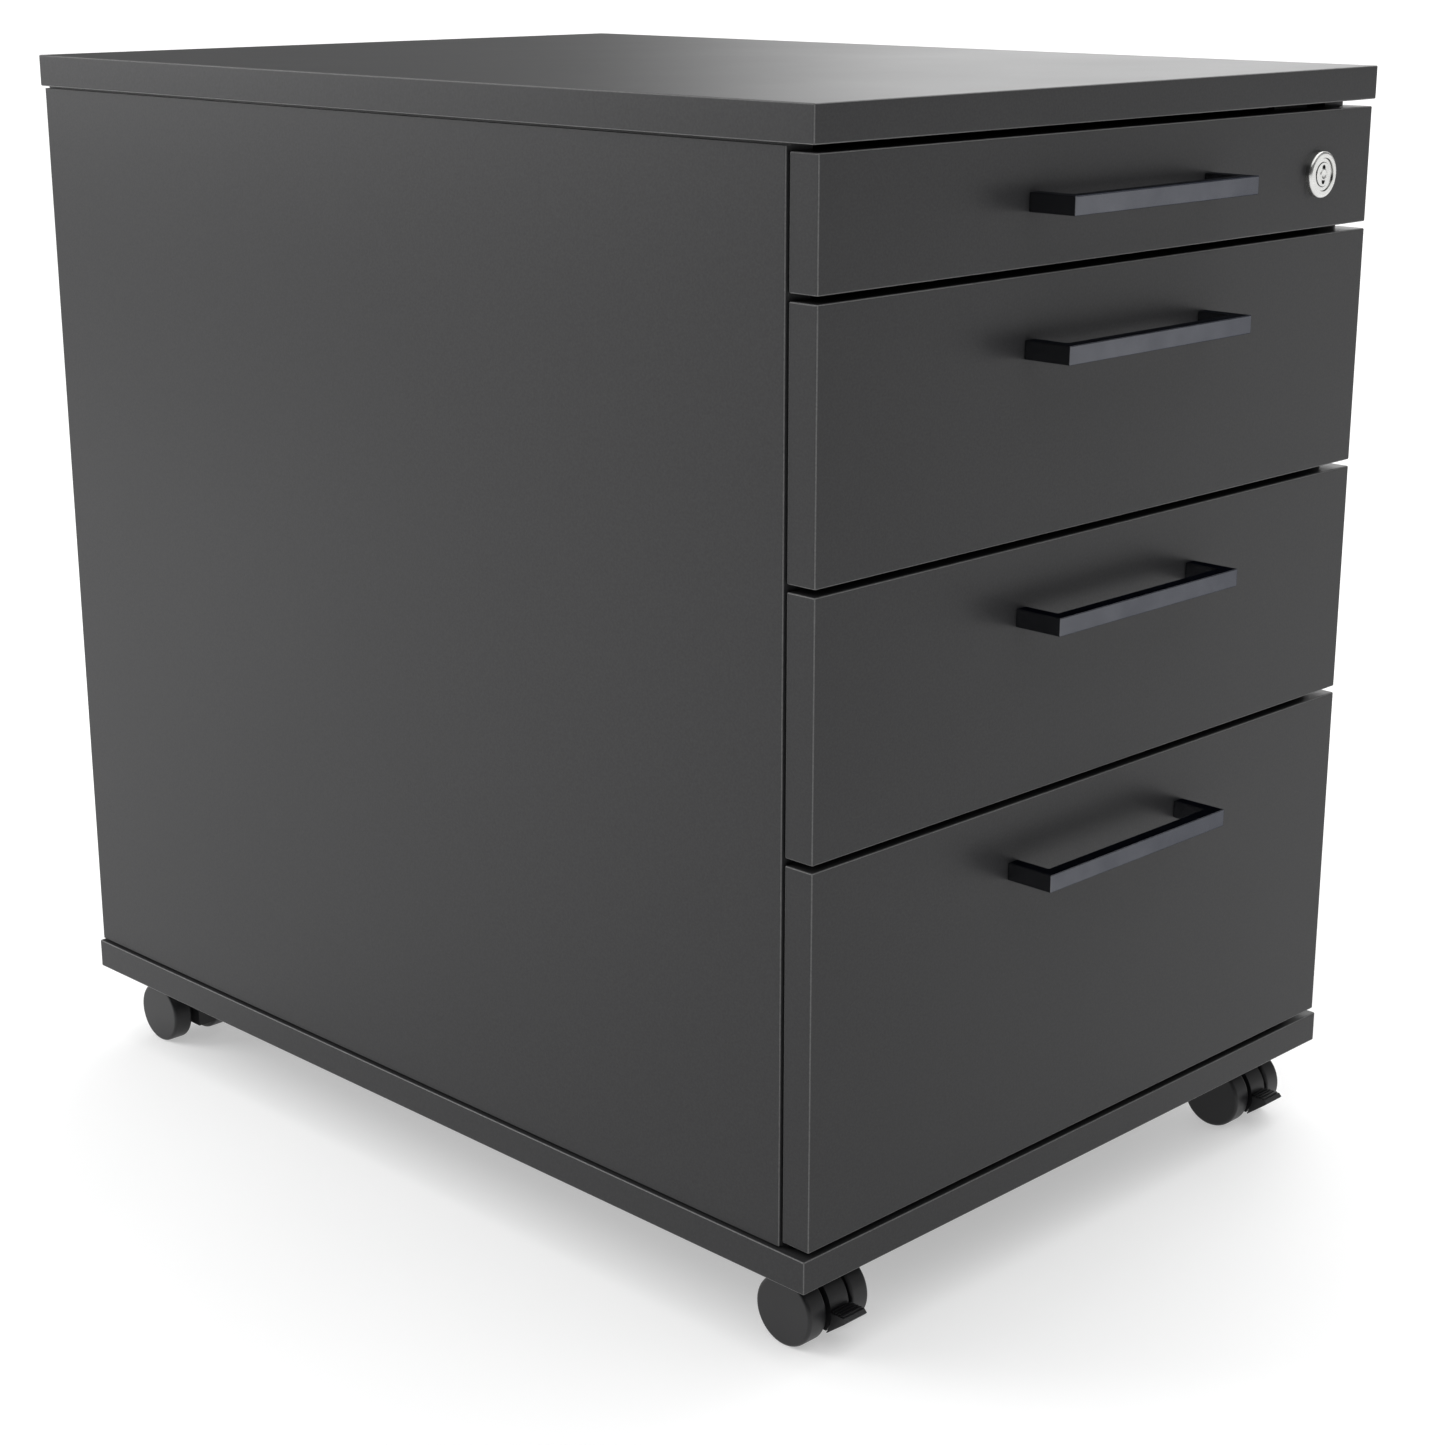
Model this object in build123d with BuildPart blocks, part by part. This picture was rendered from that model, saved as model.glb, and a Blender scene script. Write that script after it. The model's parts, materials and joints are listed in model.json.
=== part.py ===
from build123d import *
import os

os.makedirs("parts", exist_ok=True)

# Rolling pedestal cabinet. Millimetres. The origin is on the floor under the middle of the whole
# outline, handles included. +Z is up, the drawer fronts face -Y and +X is to their right.

# Overall and board sizes
width = 430.0
depth = 596.0
height = 592.0
board = 17.0
castor_height = 44.0
edge_radius = 0.8
side_inset = 2.0
side_rear_inset = 1.0
side_front_gap = 1.2
seam_height = 1.3
seam_depth = 3.0
handle_projection = 26.7

# Drawers from the top down: front height, box rise above the front's lower edge, box height,
# runner height, runner centre above the box floor
joint_gap = 3.5
front_inset = 3.0
drawer_table = (
    (59.5, 4.0, 33.0, 27.0, 16.5),
    (124.0, 7.5, 90.0, 35.0, 48.0),
    (124.0, 7.5, 90.0, 35.0, 48.0),
    (189.0, 7.5, 150.0, 35.0, 78.0),
)
box_length = 523.0
box_sheet = 1.2
box_rim = 3.0

# Runners, two-part, one pair to a drawer
runner_space = 12.7
runner_length = 500.0
runner_setback = 36.0
runner_sheet = 1.2
runner_depth = 10.2
runner_lip = 2.8
runner_ball_space = 5.3
slider_depth = 8.2
runner_screw_rows = (75.0, 460.0)

# Handles, square-section bars on two legs
handle_length = 143.5
handle_height = 9.0
handle_bar = 7.4
handle_leg = 7.3
handle_drop = 34.0
handle_edge = 0.5
handle_screw_radius = 2.0
handle_screw_grip = 14.0

# Screws and carcass fittings
screw_radius = 2.0
screw_length = 13.0
screw_head_radius = 3.5
screw_head = 1.5
dowel_radius = 4.0
dowel_length = 30.0
dowel_in_plate = 11.0
dowel_rows = (60.0, 536.0)
back_dowel_heights = (160.0, 480.0)
cam_rows = (92.0, 504.0)
cam_radius = 7.5
cam_depth = 12.5
cam_backset = 24.0
cam_bolt_radius = 3.5
cam_bolt_gap = 1.0

# Lock in the top front and the locking bar beside the drawers
lock_x = 164.7
lock_drop = 32.1
rosette_radius = 12.0
rosette_proud = 3.6
rosette_edge = 1.6
rosette_recess_radius = 8.5
rosette_recess = 0.8
barrel_radius = 9.4
barrel_clearance = 0.1
barrel_reach = 22.9
plug_radius = 6.0
plug_clearance = 0.05
keyway_length = 9.8
keyway_width = 2.8
keyway_depth = 5.0
cam_gap = 0.5
lock_cutout = 14.0
lever_thickness = 2.5
lever_reach = 18.0
lever_end_radius = 4.0
lever_hub_radius = 5.5
bar_thickness = 3.0
bar_wall_gap = 0.3
bar_breadth = 12.0
bar_setback = 21.5
bar_low = 105.0
bar_lift = 10.0
bar_arm_rise = 13.5
bar_arm_reach = 40.0
bar_arm_thickness = 2.5
bar_screw_heights = (499.0, 373.0, 243.0)
bar_screw_radius = 2.5
bar_screw_head_radius = 4.5
bar_slot_clearance = 0.3
tab_reach = 7.2
tab_height = 10.0
peg_radius = 3.0
peg_length = 7.0
peg_setback = 38.5
peg_below_runner = 5.0
peg_tab_gap = 1.0
strike_width = 30.0
strike_sheet = 2.0
strike_setback = 18.8
strike_drop = 19.0
strike_depth = 26.0
strike_screw_pitch = 14.0

# Pencil tray in the top drawer
tray_width = 356.0
tray_depth = 120.0
tray_height = 22.0
tray_wall = 2.0
tray_setback = 30.0

# Twin-wheel castors, each described about its own swivel axis with the brake side towards -Y
castor_inset = 37.5
castor_front_setback = 43.0
castor_rear_setback = 49.0
castor_trail = 14.0
wheel_radius = 18.2
wheel_thickness = 12.3
wheel_half_gap = 8.8
wheel_edge = 1.8
axle_radius = 3.0
axle_half_length = 18.4
axle_clearance = 0.05
hood_half_width = 6.4
hood_boss_half = 7.5
hood_low_front = 8.0
hood_low_rear = 11.2
hood_top = 41.4
kingpin_radius = 4.0
kingpin_length = 17.0
plate_size = 44.0
plate_thickness = 2.0
plate_screw_pitch = 32.0
plate_corner = 1.2
castor_screw_head = 1.8
pedal_length = 9.4
pedal_width = 15.0
pedal_nose = 1.6
pedal_top = 19.5
pedal_thickness = 2.6
pedal_tip_depth = 10.1
pedal_clearance = 1.0
pedal_rib = 0.9
pedal_rib_width = 1.0
pedal_rib_pitch = 2.1
pedal_rib_count = 4
pivot_ahead = 11.5
pivot_below = 4.2
pivot_radius = 1.5
pivot_clearance = 0.06
hub_end_gap = 0.4
kingpin_end_gap = 1.0
tongue_width = 7.0
tongue_height = 6.0
tongue_clearance = 0.3

# Derived positions
front_y = (handle_projection - depth) / 2
back_y = front_y + depth
plate_y = (front_y + back_y) / 2
panel_low = castor_height + board
panel_high = height - board
inner_x = width / 2 - side_inset - board
side_mid_x = inner_x + board / 2
side_front_y = front_y + board + side_front_gap
side_back_y = back_y - side_rear_inset
back_front_y = side_back_y - side_rear_inset - board
box_half_width = inner_x - runner_space
box_front_y = front_y + board
lock_z = panel_high - joint_gap - lock_drop


def keep(built, name):
    built.part.label = name
    export_step(built.part, f"parts/{name}.step")


def facing(y):
    """A sketch plane facing -Y through the given Y, drawn in X and Z."""
    return Plane.XZ.offset(-y)


def across(x):
    """A sketch plane facing +X through the given X, drawn in Y and Z."""
    return Plane.YZ.offset(x)


class Drawer:
    """The levels of one drawer, worked out from its row of the table."""

    def __init__(self, number, front_top, row):
        front_height, box_rise, box_height, runner_height, runner_rise = row
        self.number = number
        self.front_height = front_height
        self.front_low = front_top - front_height
        self.front_mid = front_top - front_height / 2
        self.box_low = self.front_low + box_rise
        self.box_height = box_height
        self.runner_z = self.box_low + runner_rise
        self.runner_half = runner_height / 2
        self.handle_z = self.front_mid if number == 1 else front_top - handle_drop
        self.peg_z = self.runner_z - self.runner_half - peg_below_runner


drawers = []
front_top = panel_high - joint_gap
for number, row in enumerate(drawer_table, start=1):
    drawers.append(Drawer(number, front_top, row))
    front_top -= row[0] + joint_gap

handle_legs = (handle_length - handle_leg) / 2
castor_spots = {
    "front_left": (castor_inset - width / 2, front_y + castor_front_setback, 0),
    "front_right": (width / 2 - castor_inset, front_y + castor_front_setback, 0),
    "rear_left": (castor_inset - width / 2, back_y - castor_rear_setback, 180),
    "rear_right": (width / 2 - castor_inset, back_y - castor_rear_setback, 180),
}

# Dowels: upright ones join the side panels to both plates, level ones hold the back panel
with BuildPart() as dowels:
    for level, toward_plate in ((panel_high, 1), (panel_low, -1)):
        mid_z = level + toward_plate * (dowel_in_plate - dowel_length / 2)
        with Locations(
            *[(s * side_mid_x, front_y + y, mid_z) for s in (-1, 1) for y in dowel_rows]
        ):
            Cylinder(dowel_radius, dowel_length)
    back_dowel_x = inner_x + dowel_in_plate - dowel_length / 2
    back_mid_y = back_front_y + board / 2
    with Locations(*[(s * back_dowel_x, back_mid_y, z) for s in (-1, 1) for z in back_dowel_heights]):
        Cylinder(dowel_radius, dowel_length, rotation=(0, 90, 0))
keep(dowels, "carcass_dowels")

# Cam fittings: a cam disc in each side panel's inner face and the bolt it draws out of the plate
with BuildPart() as cam_fittings:
    for level, toward_plate in ((panel_high, 1), (panel_low, -1)):
        disc_z = level - toward_plate * cam_backset
        disc_x = inner_x + cam_depth / 2
        with Locations(*[(s * disc_x, front_y + y, disc_z) for s in (-1, 1) for y in cam_rows]):
            Cylinder(cam_radius, cam_depth, rotation=(0, 90, 0))
        bolt_length = cam_backset - cam_radius - cam_bolt_gap + dowel_in_plate
        bolt_z = level + toward_plate * (dowel_in_plate - bolt_length / 2)
        with Locations(*[(s * side_mid_x, front_y + y, bolt_z) for s in (-1, 1) for y in cam_rows]):
            Cylinder(cam_bolt_radius, bolt_length)
keep(cam_fittings, "carcass_cam_fittings")

# Screws that hold the cabinet runners and the strike plate
with BuildPart() as carcass_screws:
    web_x = inner_x - runner_sheet
    for d in drawers:
        spots = [(s, front_y + y, d.runner_z) for s in (-1, 1) for y in runner_screw_rows]
        with Locations(*[(s * (web_x - screw_head / 2), y, z) for s, y, z in spots]):
            Cylinder(screw_head_radius, screw_head, rotation=(0, 90, 0))
        with Locations(*[(s * (web_x + screw_length / 2), y, z) for s, y, z in spots]):
            Cylinder(screw_radius, screw_length, rotation=(0, 90, 0))
    strike_screw_y = front_y + strike_setback + strike_depth / 2
    strike_low = panel_high - strike_sheet
    with Locations((lock_x, strike_screw_y)):
        with GridLocations(strike_screw_pitch, 0, 2, 1):
            with Locations((0, 0, strike_low - screw_head / 2)):
                Cylinder(screw_head_radius, screw_head)
            with Locations((0, 0, strike_low + screw_length / 2)):
                Cylinder(screw_radius, screw_length)
keep(carcass_screws, "carcass_screws")

# Shoulder screws that the locking bar slides on
with BuildPart() as bar_screws:
    bar_inner_x = inner_x - bar_wall_gap - bar_thickness
    bar_mid_y = front_y + bar_setback + bar_breadth / 2
    shoulder_x = bar_inner_x - bar_wall_gap
    for z in bar_screw_heights:
        with Locations((shoulder_x - screw_head / 2, bar_mid_y, z)):
            Cylinder(bar_screw_head_radius, screw_head, rotation=(0, 90, 0))
        with Locations((shoulder_x + screw_length / 2, bar_mid_y, z)):
            Cylinder(bar_screw_radius, screw_length, rotation=(0, 90, 0))
keep(bar_screws, "locking_bar_screws")

# Castor plate screws, four to a plate, driven up into the bottom panel
with BuildPart() as castor_screws:
    for x, y, _ in castor_spots.values():
        with Locations((x, y)):
            with GridLocations(plate_screw_pitch, plate_screw_pitch, 2, 2):
                with Locations((0, 0, castor_height - plate_thickness - castor_screw_head / 2)):
                    Cylinder(screw_head_radius, castor_screw_head)
                with Locations((0, 0, castor_height - plate_thickness + screw_length / 2)):
                    Cylinder(screw_radius, screw_length)
keep(castor_screws, "castor_screws")


def horizontal_panel(low_z):
    with BuildPart() as panel:
        with BuildSketch(Plane.XY.offset(low_z)):
            with Locations((0, plate_y)):
                Rectangle(width, depth)
        extrude(amount=board)
        fillet(panel.edges(), edge_radius)
        add(dowels.part, mode=Mode.SUBTRACT)
        add(cam_fittings.part, mode=Mode.SUBTRACT)
        add(carcass_screws.part, mode=Mode.SUBTRACT)
        add(castor_screws.part, mode=Mode.SUBTRACT)
    return panel


keep(horizontal_panel(panel_high), "top_panel")
keep(horizontal_panel(castor_height), "bottom_panel")


def side_panel(side):
    """A board on edge, with a shallow shadow groove outside where it meets each plate."""
    side_mid_y = (side_front_y + side_back_y) / 2
    with BuildPart() as panel:
        with BuildSketch(Plane.XY.offset(panel_low)):
            with Locations((side * side_mid_x, side_mid_y)):
                Rectangle(board, side_back_y - side_front_y)
        extrude(amount=panel_high - panel_low)
        fillet(panel.edges().filter_by(Axis.Z), edge_radius)
        with BuildSketch(facing(side_back_y)):
            with Locations(*[(side * (inner_x + board), z) for z in (panel_low, panel_high)]):
                Rectangle(2 * seam_depth, 2 * seam_height)
        extrude(amount=side_back_y - side_front_y, mode=Mode.SUBTRACT)
        add(dowels.part, mode=Mode.SUBTRACT)
        add(cam_fittings.part, mode=Mode.SUBTRACT)
        add(carcass_screws.part, mode=Mode.SUBTRACT)
        add(bar_screws.part, mode=Mode.SUBTRACT)
    return panel


keep(side_panel(-1), "left_side_panel")
keep(side_panel(1), "right_side_panel")

with BuildPart() as back_panel:
    with BuildSketch(Plane.XY.offset(panel_low)):
        with Locations((0, back_front_y + board / 2)):
            Rectangle(2 * inner_x, board)
    extrude(amount=panel_high - panel_low)
    add(dowels.part, mode=Mode.SUBTRACT)
keep(back_panel, "back_panel")


def cabinet_runners(side):
    """The four fixed runner members of one side: channels open towards the drawers."""
    with BuildPart() as runners:
        for d in drawers:
            outer = d.runner_half
            with BuildSketch(facing(front_y + runner_setback + runner_length)):
                with Locations((side * (inner_x - runner_depth / 2), d.runner_z)):
                    Rectangle(runner_depth, 2 * outer)
                with Locations((side * (inner_x - runner_sheet - runner_depth / 2), d.runner_z)):
                    Rectangle(runner_depth, 2 * (outer - runner_sheet), mode=Mode.SUBTRACT)
                lip_x = inner_x - runner_depth + runner_sheet / 2
                lip_z = outer - runner_lip / 2
                with Locations((side * lip_x, d.runner_z + lip_z), (side * lip_x, d.runner_z - lip_z)):
                    Rectangle(runner_sheet, runner_lip)
            extrude(amount=runner_length)
        add(carcass_screws.part, mode=Mode.SUBTRACT)
    return runners


keep(cabinet_runners(-1), "cabinet_runners_left")
keep(cabinet_runners(1), "cabinet_runners_right")

with BuildPart() as strike_plate:
    strike_front_y = front_y + strike_setback
    with BuildSketch(across(lock_x - strike_width / 2)):
        with BuildLine():
            Polyline(
                (strike_front_y, panel_high),
                (strike_front_y, panel_high - strike_drop),
                (strike_front_y + strike_sheet, panel_high - strike_drop),
                (strike_front_y + strike_sheet, panel_high - strike_sheet),
                (strike_front_y + strike_depth, panel_high - strike_sheet),
                (strike_front_y + strike_depth, panel_high),
                close=True,
            )
        make_face()
    extrude(amount=strike_width)
    add(carcass_screws.part, mode=Mode.SUBTRACT)
keep(strike_plate, "strike_plate")

# Locking bar: an upright strip with an arm over the lock's lever and a tab below each drawer's peg
with BuildPart() as locking_bar:
    arm_low = lock_z + bar_arm_rise
    arm_high = arm_low + bar_arm_thickness
    with BuildSketch(across(bar_inner_x)):
        with Locations((bar_mid_y, (bar_low + arm_high) / 2)):
            Rectangle(bar_breadth, arm_high - bar_low)
        with Locations(*[(bar_mid_y, z - bar_lift / 2) for z in bar_screw_heights]):
            SlotOverall(
                bar_lift + 2 * (bar_screw_radius + bar_slot_clearance),
                2 * (bar_screw_radius + bar_slot_clearance),
                rotation=90,
                mode=Mode.SUBTRACT,
            )
    extrude(amount=bar_thickness)
    with BuildSketch(Plane.XY.offset(arm_low)):
        with Locations((bar_inner_x - bar_arm_reach / 2, bar_mid_y)):
            Rectangle(bar_arm_reach, bar_breadth)
    extrude(amount=bar_arm_thickness)
    for d in drawers[1:]:
        tab_high = d.peg_z - peg_radius - peg_tab_gap
        with BuildSketch(Plane.XY.offset(tab_high - tab_height)):
            with Locations((bar_inner_x - tab_reach / 2, bar_mid_y)):
                Rectangle(tab_reach, bar_breadth)
        extrude(amount=tab_height)
keep(locking_bar, "locking_bar")


def handle_screws(d):
    """Two machine screws from inside the drawer box into the handle's legs."""
    with BuildPart() as screws:
        inside_y = box_front_y + box_sheet
        with BuildSketch(facing(inside_y)):
            with Locations((-handle_legs, d.handle_z), (handle_legs, d.handle_z)):
                Circle(handle_screw_radius)
        extrude(amount=board + box_sheet + handle_screw_grip)
        with BuildSketch(facing(inside_y + screw_head)):
            with Locations((-handle_legs, d.handle_z), (handle_legs, d.handle_z)):
                Circle(screw_head_radius)
        extrude(amount=screw_head)
    return screws


def handle(d, screws):
    bar_front_y = front_y - handle_projection
    with BuildPart() as bar:
        with BuildSketch(Plane.XY.offset(d.handle_z - handle_height / 2)):
            with Locations((0, bar_front_y + handle_projection / 2)):
                Rectangle(handle_length, handle_projection)
            with Locations((0, bar_front_y + handle_bar + handle_projection / 2)):
                Rectangle(handle_length - 2 * handle_leg, handle_projection, mode=Mode.SUBTRACT)
        extrude(amount=handle_height)
        touching = bar.edges().filter_by_position(Axis.Y, front_y, front_y)
        fillet(bar.edges() - touching, handle_edge)
        add(screws.part, mode=Mode.SUBTRACT)
    return bar


def drawer_front(d, screws):
    with BuildPart() as front:
        with BuildSketch(facing(front_y + board)):
            with Locations((0, d.front_mid)):
                Rectangle(width - 2 * front_inset, d.front_height)
        extrude(amount=board)
        fillet(front.edges(), edge_radius)
        add(screws.part, mode=Mode.SUBTRACT)
        if d.number == 1:
            with BuildSketch(facing(front_y + board)):
                with Locations((lock_x, lock_z)):
                    Circle(barrel_radius + barrel_clearance)
            extrude(amount=board, mode=Mode.SUBTRACT)
    return front


def drawer_box(d, screws):
    """A folded sheet box with its rim turned inwards, cut away behind the lock in the first drawer."""
    mid_y = box_front_y + box_length / 2
    with BuildPart() as box:
        with BuildSketch(Plane.XY.offset(d.box_low)):
            with Locations((0, mid_y)):
                Rectangle(2 * box_half_width, box_length)
        extrude(amount=d.box_height)
        with BuildSketch(Plane.XY.offset(d.box_low + box_sheet)):
            with Locations((0, mid_y)):
                Rectangle(2 * (box_half_width - box_sheet), box_length - 2 * box_sheet)
        extrude(amount=d.box_height - 2 * box_sheet, mode=Mode.SUBTRACT)
        with BuildSketch(Plane.XY.offset(d.box_low + d.box_height)):
            with Locations((0, mid_y)):
                Rectangle(2 * (box_half_width - box_rim), box_length - 2 * box_rim)
        extrude(amount=-2 * box_sheet, mode=Mode.SUBTRACT)
        add(screws.part, mode=Mode.SUBTRACT)
        if d.number == 1:
            cutout_width = box_half_width - box_rim - lock_x + lock_cutout
            cutout_height = d.box_low + d.box_height - lock_z + lock_cutout
            with BuildSketch(facing(box_front_y + box_rim)):
                with Locations((lock_x - lock_cutout, lock_z - lock_cutout)):
                    Rectangle(cutout_width, cutout_height, align=Align.MIN)
            extrude(amount=box_rim, mode=Mode.SUBTRACT)
    return box


def drawer_runners(d):
    """The moving runner members, channels fixed to both sides of the drawer box."""
    half = d.runner_half - runner_sheet - runner_ball_space
    with BuildPart() as sliders:
        with BuildSketch(facing(front_y + runner_setback + runner_length)):
            for side in (-1, 1):
                with Locations((side * (box_half_width + slider_depth / 2), d.runner_z)):
                    Rectangle(slider_depth, 2 * half)
                with Locations((side * (box_half_width + runner_sheet + slider_depth / 2), d.runner_z)):
                    Rectangle(slider_depth, 2 * (half - runner_sheet), mode=Mode.SUBTRACT)
        extrude(amount=runner_length)
    return sliders


for d in drawers:
    screws = handle_screws(d)
    keep(screws, f"handle_screws_{d.number}")
    keep(handle(d, screws), f"handle_{d.number}")
    keep(drawer_front(d, screws), f"drawer_front_{d.number}")
    keep(drawer_box(d, screws), f"drawer_box_{d.number}")
    keep(drawer_runners(d), f"drawer_runners_{d.number}")

for d in drawers[1:]:
    with BuildPart() as peg:
        with BuildSketch(across(box_half_width)):
            with Locations((front_y + peg_setback, d.peg_z)):
                Circle(peg_radius)
        extrude(amount=peg_length)
        chamfer(peg.faces().sort_by(Axis.X)[-1].edges(), handle_edge)
    keep(peg, f"locking_peg_{d.number}")

# Pencil tray: one wide trough at the front and two beside each other behind it
with BuildPart() as pencil_tray:
    tray_low = drawers[0].box_low + box_sheet
    tray_y = front_y + tray_setback
    trough_depth = (tray_depth - 3 * tray_wall) / 2
    trough_width = (tray_width - 3 * tray_wall) / 2
    with BuildSketch(Plane.XY.offset(tray_low)):
        with Locations((0, tray_y + tray_depth / 2)):
            Rectangle(tray_width, tray_depth)
    extrude(amount=tray_height)
    with BuildSketch(Plane.XY.offset(tray_low + tray_wall)):
        with Locations((0, tray_y + tray_wall + trough_depth / 2)):
            Rectangle(tray_width - 2 * tray_wall, trough_depth)
        with Locations((0, tray_y + tray_depth - tray_wall - trough_depth / 2)):
            with GridLocations(trough_width + tray_wall, 0, 2, 1):
                Rectangle(trough_width, trough_depth)
    extrude(amount=tray_height, mode=Mode.SUBTRACT)
    fillet(pencil_tray.edges().filter_by(Axis.Z), edge_radius)
keep(pencil_tray, "pencil_tray")

# Lock: a barrel with a round rosette, the turning plug inside it and the lever on the plug's end
with BuildPart() as lock_body:
    with BuildSketch(facing(front_y)):
        with Locations((lock_x, lock_z)):
            Circle(rosette_radius)
    extrude(amount=rosette_proud)
    rosette_face = lock_body.faces().sort_by(Axis.Y)[0]
    fillet(rosette_face.edges(), rosette_edge)
    with BuildSketch(facing(front_y + barrel_reach)):
        with Locations((lock_x, lock_z)):
            Circle(barrel_radius)
    extrude(amount=barrel_reach)
    with BuildSketch(facing(front_y - rosette_proud + rosette_recess)):
        with Locations((lock_x, lock_z)):
            Circle(rosette_recess_radius)
    extrude(amount=rosette_recess, mode=Mode.SUBTRACT)
    with BuildSketch(facing(front_y + barrel_reach)):
        with Locations((lock_x, lock_z)):
            Circle(plug_radius + plug_clearance)
    extrude(amount=barrel_reach + rosette_proud, mode=Mode.SUBTRACT)
keep(lock_body, "lock_body")

with BuildPart() as lock_plug:
    plug_front_y = front_y - rosette_proud + rosette_recess / 2
    plug_back_y = front_y + barrel_reach + cam_gap
    with BuildSketch(facing(plug_back_y)):
        with Locations((lock_x, lock_z)):
            Circle(plug_radius)
    extrude(amount=plug_back_y - plug_front_y)
    with BuildSketch(facing(plug_front_y + keyway_depth)):
        with Locations((lock_x, lock_z)):
            SlotOverall(keyway_length, keyway_width, rotation=90)
    extrude(amount=keyway_depth, mode=Mode.SUBTRACT)
keep(lock_plug, "lock_plug")

with BuildPart() as lock_lever:
    with BuildSketch(facing(plug_back_y + lever_thickness)):
        with Locations((lock_x, lock_z)):
            Circle(lever_hub_radius)
        with Locations((lock_x - lever_reach / 2, lock_z)):
            SlotOverall(lever_reach + 2 * lever_end_radius, 2 * lever_end_radius)
    extrude(amount=lever_thickness)
keep(lock_lever, "lock_lever")

# Castors
pivot_spot = (-castor_trail - pivot_ahead, wheel_radius - pivot_below)


def placed(built, spot):
    x, y, turn = spot
    with BuildPart() as moved:
        with Locations(Location((x, y, 0), (0, 0, turn))):
            add(built.part)
    return moved


def castor_hood(braked):
    """The body between the wheels: round over the axle, with an upright boss for the kingpin."""
    with BuildPart() as hood:
        with BuildSketch(across(-hood_half_width)):
            with Locations((-castor_trail, wheel_radius)):
                Circle(wheel_radius)
            with Locations(((hood_boss_half - castor_trail) / 2, (hood_low_rear + wheel_radius) / 2)):
                Rectangle(hood_boss_half + castor_trail, wheel_radius - hood_low_rear)
            with Locations((0, (wheel_radius + hood_top) / 2)):
                Rectangle(2 * hood_boss_half, hood_top - wheel_radius)
            with Locations((-castor_trail, hood_low_front / 2)):
                Rectangle(2 * wheel_radius, hood_low_front, mode=Mode.SUBTRACT)
            with Locations((wheel_radius - castor_trail, hood_low_rear / 2)):
                Rectangle(2 * wheel_radius, hood_low_rear, mode=Mode.SUBTRACT)
        extrude(amount=2 * hood_half_width)
        with BuildSketch(Plane.XY.offset(hood_top)):
            Circle(kingpin_radius + axle_clearance)
        extrude(amount=-kingpin_length, mode=Mode.SUBTRACT)
        with BuildSketch(across(-hood_half_width)):
            with Locations((-castor_trail, wheel_radius)):
                Circle(axle_radius)
        extrude(amount=2 * hood_half_width, mode=Mode.SUBTRACT)
        if braked:
            with BuildSketch(across(-hood_half_width)):
                with Locations(pivot_spot):
                    Circle(pivot_radius + pivot_clearance)
            extrude(amount=2 * hood_half_width, mode=Mode.SUBTRACT)
            slot_back = pivot_spot[0] + tongue_height / 2 + tongue_clearance
            slot_front = -castor_trail - wheel_radius
            with BuildSketch(across(-tongue_width / 2 - tongue_clearance)):
                with Locations(((slot_front + slot_back) / 2, (hood_low_front + pedal_top) / 2)):
                    Rectangle(slot_back - slot_front, pedal_top - hood_low_front)
            extrude(amount=tongue_width + 2 * tongue_clearance, mode=Mode.SUBTRACT)
    return hood


def brake_lever():
    """A ribbed pedal with a tongue that turns on its own pin inside the hood."""
    pedal_back = -castor_trail - wheel_radius
    pedal_tip = pedal_back - pedal_length
    pedal_low = pedal_top - pedal_thickness
    low_tip = pedal_top - pedal_nose - pedal_tip_depth
    with BuildPart() as lever:
        with BuildSketch(across(-pedal_width / 2)):
            with BuildLine():
                Polyline(
                    (pedal_back + pedal_thickness, pedal_top),
                    (pedal_tip, pedal_top),
                    (pedal_tip - pedal_nose, pedal_top - pedal_nose),
                    (pedal_tip - pedal_nose / 2, pedal_low),
                    (pedal_back + pedal_nose, low_tip),
                    (pedal_back + pedal_thickness, low_tip + pedal_nose),
                    close=True,
                )
            make_face()
            with Locations((-castor_trail, wheel_radius)):
                Circle(wheel_radius + pedal_clearance, mode=Mode.SUBTRACT)
        extrude(amount=pedal_width)
        with BuildSketch(Plane.XY.offset(pedal_top)):
            with Locations((0, pedal_tip + pedal_length / 2)):
                with GridLocations(0, pedal_rib_pitch, 1, pedal_rib_count):
                    Rectangle(pedal_width - pedal_nose, pedal_rib_width)
        extrude(amount=pedal_rib)
        with BuildSketch(across(-tongue_width / 2)):
            with Locations(pivot_spot):
                Circle(tongue_height / 2)
            with Locations(((pivot_spot[0] + pedal_back - pedal_thickness) / 2, pivot_spot[1])):
                Rectangle(pivot_spot[0] - pedal_back + pedal_thickness, tongue_height)
        extrude(amount=tongue_width)
        with BuildSketch(across(-hood_half_width)):
            with Locations(pivot_spot):
                Circle(pivot_radius)
        extrude(amount=2 * hood_half_width)
    return lever


def castor_wheel(side):
    with BuildPart() as wheel:
        low_x = wheel_half_gap if side > 0 else -wheel_half_gap - wheel_thickness
        with BuildSketch(across(low_x)):
            with Locations((-castor_trail, wheel_radius)):
                Circle(wheel_radius)
        extrude(amount=wheel_thickness)
        fillet(wheel.edges(), wheel_edge)
        with BuildSketch(across(side * wheel_half_gap)):
            with Locations((-castor_trail, wheel_radius)):
                Circle(axle_radius + axle_clearance)
        bore_depth = axle_half_length + hub_end_gap - wheel_half_gap
        extrude(amount=side * bore_depth, mode=Mode.SUBTRACT)
    return wheel


with BuildPart() as axle:
    with BuildSketch(across(-axle_half_length)):
        with Locations((-castor_trail, wheel_radius)):
            Circle(axle_radius)
    extrude(amount=2 * axle_half_length)

hoods = {True: castor_hood(True), False: castor_hood(False)}
wheels = {"left": castor_wheel(-1), "right": castor_wheel(1)}
pedal = brake_lever()

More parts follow.
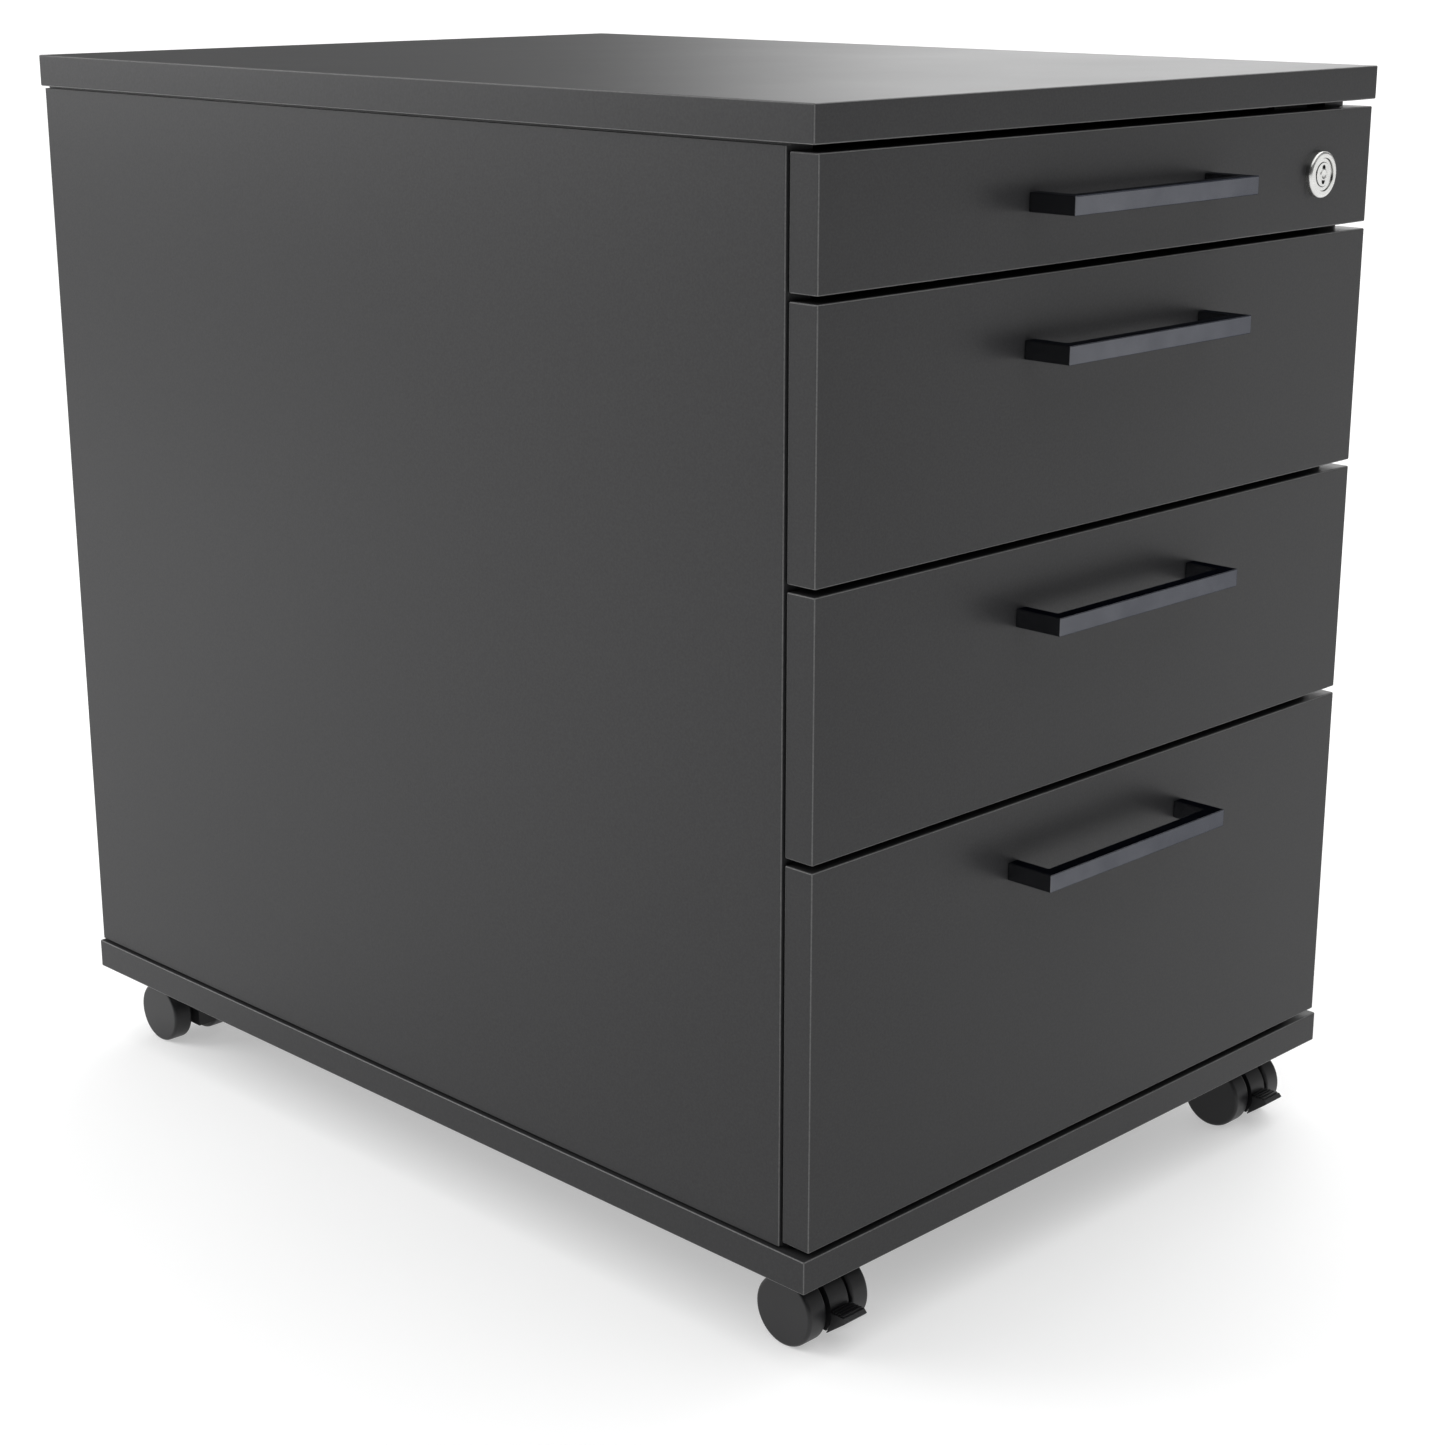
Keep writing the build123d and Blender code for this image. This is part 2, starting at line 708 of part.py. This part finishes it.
for place, spot in castor_spots.items():
    braked = place.startswith("front")
    keep(placed(hoods[braked], spot), f"castor_hood_{place}")
    keep(placed(axle, spot), f"castor_axle_{place}")
    for end, wheel in wheels.items():
        keep(placed(wheel, spot), f"castor_wheel_{place}_{end}")
    if braked:
        keep(placed(pedal, spot), f"brake_lever_{place}")

# Castor plates with their kingpins, fixed under the bottom panel
with BuildPart() as castor_plates:
    for x, y, _ in castor_spots.values():
        with BuildSketch(Plane.XY.offset(castor_height)):
            with Locations((x, y)):
                Rectangle(plate_size, plate_size)
        extrude(amount=-plate_thickness)
        with BuildSketch(Plane.XY.offset(castor_height - plate_thickness)):
            with Locations((x, y)):
                Circle(kingpin_radius)
        extrude(amount=-kingpin_length + kingpin_end_gap)
    fillet(castor_plates.edges().filter_by(Axis.Z).filter_by(GeomType.LINE), plate_corner)
    add(castor_screws.part, mode=Mode.SUBTRACT)
keep(castor_plates, "castor_plates")
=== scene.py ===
import json
import math

import bmesh
import bpy
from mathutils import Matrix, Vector


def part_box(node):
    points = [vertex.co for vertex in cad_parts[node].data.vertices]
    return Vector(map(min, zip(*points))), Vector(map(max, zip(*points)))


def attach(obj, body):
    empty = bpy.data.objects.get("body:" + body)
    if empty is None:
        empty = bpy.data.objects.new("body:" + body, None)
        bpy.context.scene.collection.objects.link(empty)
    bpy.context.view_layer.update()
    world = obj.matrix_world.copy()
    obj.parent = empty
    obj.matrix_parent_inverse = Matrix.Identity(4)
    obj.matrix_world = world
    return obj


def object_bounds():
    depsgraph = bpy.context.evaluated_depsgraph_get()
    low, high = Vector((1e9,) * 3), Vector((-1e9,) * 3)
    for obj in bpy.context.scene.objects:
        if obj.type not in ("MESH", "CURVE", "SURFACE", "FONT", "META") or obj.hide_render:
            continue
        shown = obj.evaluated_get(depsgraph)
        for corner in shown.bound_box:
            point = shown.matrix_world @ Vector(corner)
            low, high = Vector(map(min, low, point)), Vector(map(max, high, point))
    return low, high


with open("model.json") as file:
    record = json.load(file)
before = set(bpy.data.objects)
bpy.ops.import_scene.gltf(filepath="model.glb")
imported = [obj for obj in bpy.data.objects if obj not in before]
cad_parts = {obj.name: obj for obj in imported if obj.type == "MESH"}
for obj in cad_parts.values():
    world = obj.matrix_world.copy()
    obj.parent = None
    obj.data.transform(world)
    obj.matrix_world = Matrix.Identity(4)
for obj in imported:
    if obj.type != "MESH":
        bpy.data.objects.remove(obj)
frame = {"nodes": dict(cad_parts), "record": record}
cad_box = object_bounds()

scene = bpy.context.scene
scene.view_settings.view_transform = "Standard"
nodes = frame["nodes"]
record = frame["record"]
MM = 0.001

# ---------------------------------------------------------------- materials

# sRGB tones from 0 to 255, the darker and the lighter end of each finish
BOARD_FACE = ((43, 43, 44), (52, 52, 53))
# painted highlight: the paler tone that the boards' rounded edges get in place of lit glints
BOARD_EDGE_HIGHLIGHT = ((88, 88, 88), (106, 106, 106))
ANODISED = ((85, 86, 90), (96, 97, 101))
PAINTED_STEEL = ((66, 67, 70), (78, 79, 82))
RUNNER_ZINC = ((168, 168, 168), (206, 206, 206))
FASTENER_ZINC = ((160, 160, 160), (198, 198, 198))
BLACK_ZINC = ((26, 26, 26), (40, 40, 40))
BEECH = ((176, 136, 92), (214, 178, 132))
CASTOR_NYLON = ((15, 15, 17), (24, 24, 26))
WHEEL_NYLON = ((17, 17, 19), (26, 26, 28))
NICKEL = ((202, 202, 200), (218, 218, 216))
TRAY_PLASTIC = ((44, 44, 47), (58, 58, 61))
# painted shade: the near-black of the keyway's and grooves' unlit insides
SLOT_SHADE = ((8, 8, 8), (18, 18, 18))
FLOOR = ((206, 206, 206), (210, 210, 210))

GLANCING_TINT = (0.2, 0.22, 0.28, 1.0)
WHITE = (1, 1, 1, 1)
# cosine of the tilt from which a surface counts as part of a rounded edge, where the boards get a painted
# highlight
SQUARE_COSINE = 0.94
# colour sockets of the mix node, which shares their names between sockets of several kinds
MIX_FIRST, MIX_SECOND, MIX_RESULT = 6, 7, 2
# the two shader sockets of the mix shader node, for a factor of 0 and of 1
SHADER_FIRST, SHADER_SECOND = 1, 2


def linear(tone):
    """Linear RGBA of an sRGB tone."""
    out = []
    for part in tone:
        c = part / 255
        out.append(c / 12.92 if c <= 0.04045 else ((c + 0.055) / 1.055) ** 2.4)
    return (*out, 1.0)


class Look:
    """A principled material built from nodes, in the object's own coordinates."""

    def __init__(self, name, rough, metal=0.0, specular=0.5):
        self.mat = bpy.data.materials.new(name)
        self.mat.use_nodes = True
        self.tree = self.mat.node_tree
        self.shader = self.tree.nodes["Principled BSDF"]
        self.shader.inputs["Roughness"].default_value = rough
        self.shader.inputs["Metallic"].default_value = metal
        self.shader.inputs["Specular IOR Level"].default_value = specular
        self.coords = self.tree.nodes.new("ShaderNodeTexCoord").outputs["Object"]

    def mapped(self, stretch):
        """The object's coordinates, scaled along each axis."""
        node = self.tree.nodes.new("ShaderNodeMapping")
        node.inputs["Scale"].default_value = stretch
        self.tree.links.new(self.coords, node.inputs["Vector"])
        return node.outputs["Vector"]

    def noise(self, scale, detail=3.0, rough=0.5, stretch=(1, 1, 1)):
        node = self.tree.nodes.new("ShaderNodeTexNoise")
        node.inputs["Scale"].default_value = scale
        node.inputs["Detail"].default_value = detail
        node.inputs["Roughness"].default_value = rough
        self.tree.links.new(self.mapped(stretch), node.inputs["Vector"])
        return node.outputs["Fac"]

    def voronoi(self, scale):
        node = self.tree.nodes.new("ShaderNodeTexVoronoi")
        node.inputs["Scale"].default_value = scale
        self.tree.links.new(self.mapped((1, 1, 1)), node.inputs["Vector"])
        return node.outputs["Distance"]

    def tones(self, source, ends, low=0.3, high=0.7):
        """A tone between two ends, changing as the source goes from low to high."""
        node = self.tree.nodes.new("ShaderNodeValToRGB")
        for element, place, tone in zip(node.color_ramp.elements, (low, high), ends):
            element.position = place
            element.color = linear(tone)
        self.tree.links.new(source, node.inputs["Fac"])
        return node.outputs["Color"]

    def maths(self, operation, first, second=0.0):
        node = self.tree.nodes.new("ShaderNodeMath")
        node.operation = operation
        for socket, value in zip(node.inputs, (first, second)):
            if isinstance(value, float):
                socket.default_value = value
            else:
                self.tree.links.new(value, socket)
        return node.outputs["Value"]

    def rounded(self):
        """0 on faces square to the axes and 1 where an edge is rounded over: the mask of the boards'
        painted edge highlight.
        """
        normal = self.tree.nodes.new("ShaderNodeTexCoord").outputs["Normal"]
        split = self.tree.nodes.new("ShaderNodeSeparateXYZ")
        self.tree.links.new(normal, split.inputs["Vector"])
        x, y, z = (self.maths("ABSOLUTE", split.outputs[axis]) for axis in "XYZ")
        squareness = self.maths("MAXIMUM", self.maths("MAXIMUM", x, y), z)
        return self.maths("LESS_THAN", squareness, SQUARE_COSINE)

    def mixed(self, factor, first, second):
        node = self.tree.nodes.new("ShaderNodeMix")
        node.data_type = "RGBA"
        self.tree.links.new(factor, node.inputs["Factor"])
        self.tree.links.new(first, node.inputs[MIX_FIRST])
        self.tree.links.new(second, node.inputs[MIX_SECOND])
        return node.outputs[MIX_RESULT]

    def roughness(self, source, low, high):
        node = self.tree.nodes.new("ShaderNodeMapRange")
        node.inputs["To Min"].default_value = low
        node.inputs["To Max"].default_value = high
        self.tree.links.new(source, node.inputs["Value"])
        self.tree.links.new(node.outputs["Result"], self.shader.inputs["Roughness"])

    def colour(self, source):
        self.tree.links.new(source, self.shader.inputs["Base Color"])

    def bump(self, source, height, strength):
        node = self.tree.nodes.new("ShaderNodeBump")
        node.inputs["Distance"].default_value = height * MM
        node.inputs["Strength"].default_value = strength
        self.tree.links.new(source, node.inputs["Height"])
        self.tree.links.new(node.outputs["Normal"], self.shader.inputs["Normal"])


def board():
    """Anthracite melamine: a fine pearl grain, faint clouding, and rounded edges painted paler as a
    painted highlight.
    """
    look = Look("board_anthracite", rough=0.34, specular=0.19)
    grain = look.noise(scale=900, detail=4, rough=0.6)
    cloud = look.noise(scale=7, detail=3, rough=0.5)
    face = look.tones(grain, BOARD_FACE)
    edge = look.tones(grain, BOARD_EDGE_HIGHLIGHT)
    # painted highlight: the rounded edges take the paler tone
    look.colour(look.mixed(look.rounded(), face, edge))
    look.roughness(cloud, low=0.3, high=0.38)
    look.bump(grain, height=0.05, strength=0.5)
    return look.mat


def handle():
    """Black anodised bar: a dim bluish metal that goes black at a glancing angle."""
    look = Look("handle_black", rough=0.26, metal=1.0)
    look.shader.inputs["Specular Tint"].default_value = GLANCING_TINT
    peel = look.noise(scale=1400, detail=2, rough=0.5)
    haze = look.noise(scale=35, detail=4, rough=0.6)
    look.colour(look.tones(haze, ANODISED, low=0.35))
    look.roughness(haze, low=0.18, high=0.26)
    look.bump(peel, height=0.04, strength=0.5)
    return look.mat


def steel_sheet():
    """Powder-coated sheet: a fine orange peel and uneven gloss."""
    look = Look("drawer_steel", rough=0.42)
    peel = look.noise(scale=1100, detail=2, rough=0.5)
    haze = look.noise(scale=14, detail=4, rough=0.6)
    look.colour(look.tones(haze, PAINTED_STEEL, high=0.75))
    look.roughness(haze, low=0.36, high=0.5)
    look.bump(peel, height=0.05, strength=0.5)
    return look.mat


def zinc(name, ends, rough):
    """Plated steel: drawing lines along the depth and a faint spangle."""
    look = Look(name, rough, metal=1.0)
    drawn = look.noise(scale=260, detail=5, rough=0.6, stretch=(1, 0.02, 1))
    spangle = look.voronoi(scale=160)
    look.colour(look.tones(drawn, ends))
    look.roughness(spangle, low=rough - 0.06, high=rough + 0.12)
    look.bump(drawn, height=0.03, strength=0.5)
    return look.mat


def beech():
    """Turned wood, with upright fibres."""
    look = Look("dowel_wood", rough=0.6)
    fibre = look.noise(scale=300, detail=5, rough=0.6, stretch=(1, 1, 0.06))
    look.colour(look.tones(fibre, BEECH))
    look.roughness(fibre, low=0.5, high=0.72)
    look.bump(fibre, height=0.1, strength=0.6)
    return look.mat


def plastic(name, ends, low_rough, high_rough):
    """Moulded nylon or polystyrene: spark-eroded grain with handling marks."""
    look = Look(name, low_rough, specular=0.45)
    pits = look.noise(scale=900, detail=3, rough=0.6)
    marks = look.noise(scale=60, detail=5, rough=0.65)
    look.colour(look.tones(marks, ends, high=0.75))
    look.roughness(marks, low_rough, high_rough)
    look.bump(pits, height=0.06, strength=0.5)
    return look.mat


def nickel():
    """Turned and plated metal, slightly smudged."""
    look = Look("lock_nickel", rough=0.28, metal=1.0)
    turned = look.noise(scale=500, detail=4, rough=0.6)
    smudge = look.noise(scale=90, detail=4, rough=0.6)
    look.colour(look.tones(smudge, NICKEL))
    look.roughness(smudge, low=0.2, high=0.3)
    look.bump(turned, height=0.01, strength=0.4)
    return look.mat


def dark_slot():
    """Painted shade: a near-black finish standing in for the unlit inside of a keyway or groove."""
    look = Look("keyway_painted_shade", rough=0.6, specular=0.3)
    grit = look.noise(scale=1500, detail=3, rough=0.6)
    look.colour(look.tones(grit, SLOT_SHADE))
    look.roughness(grit, low=0.5, high=0.7)
    look.bump(grit, height=0.02, strength=0.4)
    return look.mat


looks = {
    "board_anthracite": board(),
    "handle_black": handle(),
    "drawer_steel": steel_sheet(),
    "runner_zinc": zinc("runner_zinc", RUNNER_ZINC, rough=0.3),
    "fastener_steel": zinc("fastener_steel", FASTENER_ZINC, rough=0.32),
    "blackened_steel": zinc("blackened_steel", BLACK_ZINC, rough=0.42),
    "dowel_wood": beech(),
    "castor_plastic": plastic("castor_plastic", CASTOR_NYLON, low_rough=0.36, high_rough=0.52),
    "wheel_plastic": plastic("wheel_plastic", WHEEL_NYLON, low_rough=0.34, high_rough=0.5),
    "lock_nickel": nickel(),
    "tray_plastic": plastic("tray_plastic", TRAY_PLASTIC, low_rough=0.4, high_rough=0.56),
}
slots = {entry["node"]: entry["material_slot"] for entry in record["subparts"]}
for name, obj in nodes.items():
    obj.data.materials.clear()
    obj.data.materials.append(looks[slots[name]])

# ---------------------------------------------------------------- fine pieces of the lock, with painted shade in the keyway and grooves

plug_low, plug_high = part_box("lock_plug")
plug_x = (plug_low.x + plug_high.x) / 2
plug_z = (plug_low.z + plug_high.z) / 2
FACE_Y = plug_low.y
RING_SEGMENTS = 48
SLOT_SEGMENTS = 16

# Millimetres; depths are counted from the plug's face, negative in front of it.
# The keyway's lining, a near-black cup of painted shade: length, width and depth of each loop, from the
# back of its wall to its floor.
LINING_LOOPS = ((9.7, 2.7, 4.9), (9.7, 2.7, 0.35), (9.4, 2.4, 0.35), (9.4, 2.4, 4.6))
# Lines of painted shadow, dark rings round the rosette's recess and round the plug: inner and outer
# radius.
GROOVES = {"rosette_groove": (8.2, 8.48), "barrel_groove": (6.08, 6.36)}
# A line of painted shadow starts at the recess floor and stands just off it.
GROOVE_FLOOR = 0.42
GROOVE_TOP = 0.36
# The round shutter with its dished centre: radius and depth of each loop, from the back.
SHUTTER_LOOPS = ((3.0, 1.2), (3.0, -0.05), (2.8, -0.25), (2.2, -0.3), (1.9, -0.12), (1.2, -0.02))


def shown(name, mesh, material, body, smooth=False):
    """Puts a finished bmesh into the scene as a piece that rides on a body."""
    data = bpy.data.meshes.new(name)
    bmesh.ops.recalc_face_normals(mesh, faces=mesh.faces)
    mesh.to_mesh(data)
    mesh.free()
    for face in data.polygons:
        face.use_smooth = smooth
    data.materials.append(material)
    piece = bpy.data.objects.new(name, data)
    scene.collection.objects.link(piece)
    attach(piece, body)


def ring(mesh, radius, depth):
    """A closed loop of vertices round the plug's axis."""
    angles = [2 * math.pi * k / RING_SEGMENTS for k in range(RING_SEGMENTS)]
    return [
        mesh.verts.new((
            plug_x + radius * MM * math.cos(angle),
            FACE_Y + depth * MM,
            plug_z + radius * MM * math.sin(angle),
        ))
        for angle in angles
    ]


def slot_loop(mesh, length, width, depth):
    """A closed loop of vertices in the shape of the upright keyway."""
    radius = width / 2
    loop = []
    for end in (1, -1):
        for k in range(SLOT_SEGMENTS + 1):
            angle = math.pi * k / SLOT_SEGMENTS + (0 if end > 0 else math.pi)
            rise = end * (length / 2 - radius) + radius * math.sin(angle)
            loop.append(mesh.verts.new((
                plug_x + radius * MM * math.cos(angle),
                FACE_Y + depth * MM,
                plug_z + rise * MM,
            )))
    return loop


def wall(mesh, first, second):
    """Joins two loops of equal length with a band of faces."""
    for k in range(len(first)):
        n = (k + 1) % len(first)
        mesh.faces.new((first[k], first[n], second[n], second[k]))


def skin(mesh, loops):
    """Joins loops in turn and closes the two ends."""
    for first, second in zip(loops, loops[1:]):
        wall(mesh, first, second)
    mesh.faces.new(loops[0])
    mesh.faces.new(loops[-1])


# painted shade: a near-black finish for the keyway's lining and the groove rings
painted_shade = dark_slot()
keyway = bmesh.new()
skin(keyway, [slot_loop(keyway, *sizes) for sizes in LINING_LOOPS])
shown("keyway_lining", keyway, painted_shade, "lock_core")

# painted shadow: dark rings where the grooves fall into shade
for name, (inner, outer) in GROOVES.items():
    groove = bmesh.new()
    loops = [
        ring(groove, inner, GROOVE_FLOOR),
        ring(groove, inner, GROOVE_TOP),
        ring(groove, outer, GROOVE_TOP),
        ring(groove, outer, GROOVE_FLOOR),
    ]
    for first, second in zip(loops, loops[1:] + loops[:1]):
        wall(groove, first, second)
    shown(name, groove, painted_shade, "drawer_1")

shutter = bmesh.new()
skin(shutter, [ring(shutter, *sizes) for sizes in SHUTTER_LOOPS])
shown("keyway_shutter", shutter, looks["lock_nickel"], "lock_core", smooth=True)

# ---------------------------------------------------------------- floor and studio

FLOOR_RADIUS = 30
FLOOR_SEGMENTS = 96
FLOOR_GLOW = 0.42
# Strength of the studio's walls: dark on the left, light on the right, and the share that the front keeps
ROOM_DARK = 0.2
ROOM_LIGHT = 2.3
ROOM_FRONT = 0.1
# Directions between which the walls fade: from left to right by X less Y, from front to back by Y
ACROSS_FADE = (-0.08, 0.14)
FRONT_FADE = (-0.3, 0.2)

floor_look = Look("floor_pale", rough=0.7, specular=0.15)
floor_look.colour(floor_look.tones(floor_look.noise(scale=3), FLOOR))
floor_look.shader.inputs["Emission Color"].default_value = WHITE
floor_look.shader.inputs["Emission Strength"].default_value = FLOOR_GLOW
floor_mesh = bpy.data.meshes.new("floor")
shape = bmesh.new()
bmesh.ops.create_circle(shape, cap_ends=True, segments=FLOOR_SEGMENTS, radius=FLOOR_RADIUS)
shape.to_mesh(floor_mesh)
shape.free()
floor_mesh.materials.append(floor_look.mat)
floor = bpy.data.objects.new("floor", floor_mesh)
scene.collection.objects.link(floor)

world = bpy.data.worlds.new("studio")
scene.world = world
world.use_nodes = True
tree = world.node_tree


def combined(operation, first, second):
    """The result of one sum on two sockets of the studio's node tree."""
    node = tree.nodes.new("ShaderNodeMath")
    node.operation = operation
    tree.links.new(first, node.inputs[0])
    tree.links.new(second, node.inputs[1])
    return node.outputs["Value"]


def faded(source, fade, start, end):
    """A smooth change from start to end while the source passes through the fade."""
    node = tree.nodes.new("ShaderNodeMapRange")
    node.interpolation_type = "SMOOTHSTEP"
    node.inputs["From Min"].default_value, node.inputs["From Max"].default_value = fade
    node.inputs["To Min"].default_value = start
    node.inputs["To Max"].default_value = end
    tree.links.new(source, node.inputs["Value"])
    return node.outputs["Result"]


split = tree.nodes.new("ShaderNodeSeparateXYZ")
tree.links.new(tree.nodes.new("ShaderNodeTexCoord").outputs["Generated"], split.inputs["Vector"])
to_right, to_back = split.outputs["X"], split.outputs["Y"]
walls = faded(combined("SUBTRACT", to_right, to_back), ACROSS_FADE, ROOM_DARK, ROOM_LIGHT)
kept = faded(to_back, FRONT_FADE, ROOM_FRONT, 1.0)
room = tree.nodes.new("ShaderNodeBackground")
tree.links.new(combined("MULTIPLY", walls, kept), room.inputs["Strength"])
backdrop = tree.nodes["Background"]
backdrop.inputs["Color"].default_value = WHITE
backdrop.inputs["Strength"].default_value = 1.0
mix = tree.nodes.new("ShaderNodeMixShader")
tree.links.new(tree.nodes.new("ShaderNodeLightPath").outputs["Is Camera Ray"], mix.inputs["Fac"])
tree.links.new(room.outputs["Background"], mix.inputs[SHADER_FIRST])
tree.links.new(backdrop.outputs["Background"], mix.inputs[SHADER_SECOND])
tree.links.new(mix.outputs["Shader"], tree.nodes["World Output"].inputs["Surface"])

# ---------------------------------------------------------------- lamps

# Place, width and height, and watts of each soft box
SOFT_BOXES = {
    "left_back": ((-1.7, 1.9, 1.2), (1.4, 1.4), 34),
    "right_front": ((1.7, -2.1, 0.9), (1.4, 1.6), 2.0),
}
OVERHEAD_STRENGTH = 2.5
OVERHEAD_SPREAD = math.radians(100)

centre = (Vector(cad_box[0]) + Vector(cad_box[1])) / 2
for name, (place, size, watts) in SOFT_BOXES.items():
    lamp = bpy.data.lights.new(name, "AREA")
    lamp.shape = "RECTANGLE"
    lamp.size, lamp.size_y = size
    lamp.energy = watts
    lamp_obj = bpy.data.objects.new(name, lamp)
    scene.collection.objects.link(lamp_obj)
    lamp_obj.location = place
    lamp_obj.rotation_euler = (centre - Vector(place)).to_track_quat("-Z", "Y").to_euler()

sky = bpy.data.lights.new("overhead", "SUN")
sky.energy = OVERHEAD_STRENGTH
sky.angle = OVERHEAD_SPREAD
scene.collection.objects.link(bpy.data.objects.new("overhead", sky))

# ---------------------------------------------------------------- camera

CAMERA_PLACE = (-1.0529, -1.0653, 0.6644)
YAW = math.radians(45.12)
PITCH = math.radians(16.5)
SENSOR_WIDTH = 36
LENS = 67.4657
FARTHEST = 100

forward = Vector((
    math.sin(YAW) * math.cos(PITCH),
    math.cos(YAW) * math.cos(PITCH),
    -math.sin(PITCH),
))
camera_data = bpy.data.cameras.new("camera")
camera_data.sensor_width = SENSOR_WIDTH
camera_data.lens = LENS
camera_data.clip_end = FARTHEST
camera = bpy.data.objects.new("camera", camera_data)
camera.location = CAMERA_PLACE
camera.rotation_euler = forward.to_track_quat("-Z", "Y").to_euler()
scene.collection.objects.link(camera)
scene.camera = camera

bpy.context.view_layer.update()
